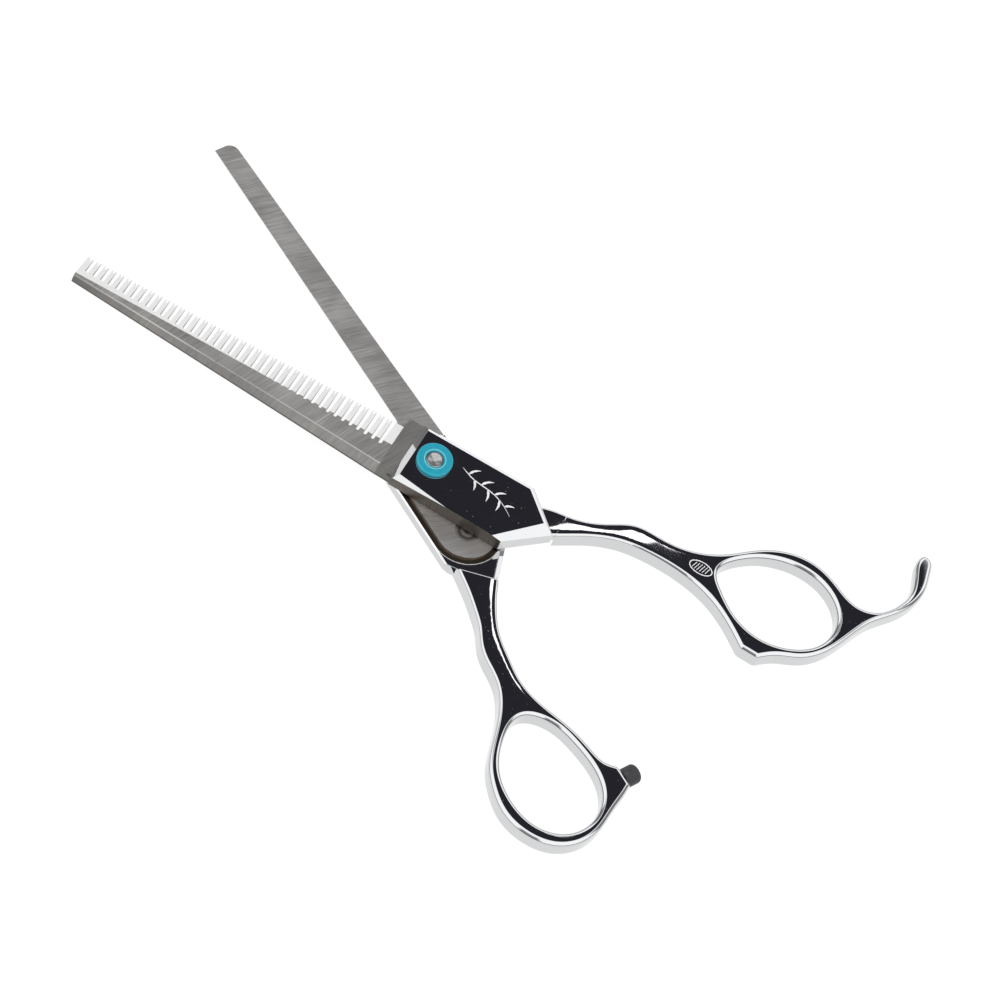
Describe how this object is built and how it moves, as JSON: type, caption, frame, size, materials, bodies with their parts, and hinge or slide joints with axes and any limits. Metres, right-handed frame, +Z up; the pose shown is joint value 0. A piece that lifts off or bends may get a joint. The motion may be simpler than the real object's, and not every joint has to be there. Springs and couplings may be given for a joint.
{
  "type": "thinning shears",
  "caption": "Hairdresser's thinning shears: a toothed comb blade and a plain blade on offset handles, opening on one adjustable pivot",
  "frame": {"origin": "on the pivot axis, in the plane the shears lie on, which is the underside of the pivot screw's head", "axes": "+Z up the pivot to the blue tension nut, +X from the blade tips to the handles along the finger half, +Y to the side the little finger rest points to"},
  "size_m": [0.1584, 0.0906, 0.0086],
  "materials": {
    "polished_steel": "mirror polished stainless steel",
    "blade_steel": "satin, ground across the blade",
    "screw_steel": "turned and lightly polished",
    "bushing_plastic": "plain low friction plastic",
    "blue_nut": "blue anodised",
    "bumper_rubber": "matt"
  },
  "bodies": {
    "finger_half": {"finger_handle": "polished_steel", "comb_blade": "blade_steel", "pivot_screw": "screw_steel", "spring_washer": "screw_steel"},
    "thumb_half": {"thumb_handle": "polished_steel", "plain_blade": "blade_steel", "pivot_bushing": "bushing_plastic", "thrust_washer": "bushing_plastic", "bumper": "bumper_rubber", "bumper_stud": "screw_steel"},
    "nut": {"tension_nut": "blue_nut"}
  },
  "joints": [
    {"name": "blade_pivot", "type": "hinge", "parent": "finger_half", "child": "thumb_half", "pos_m": [0, 0, 0.00445], "axis": [0, 0, 1], "range_deg": [-45, 27.4]},
    {"name": "tension_adjust", "type": "hinge", "parent": "finger_half", "child": "nut", "pos_m": [0, 0, 0.0075], "axis": [0, 0, 1], "range_deg": [-90, 90]}
  ]
}
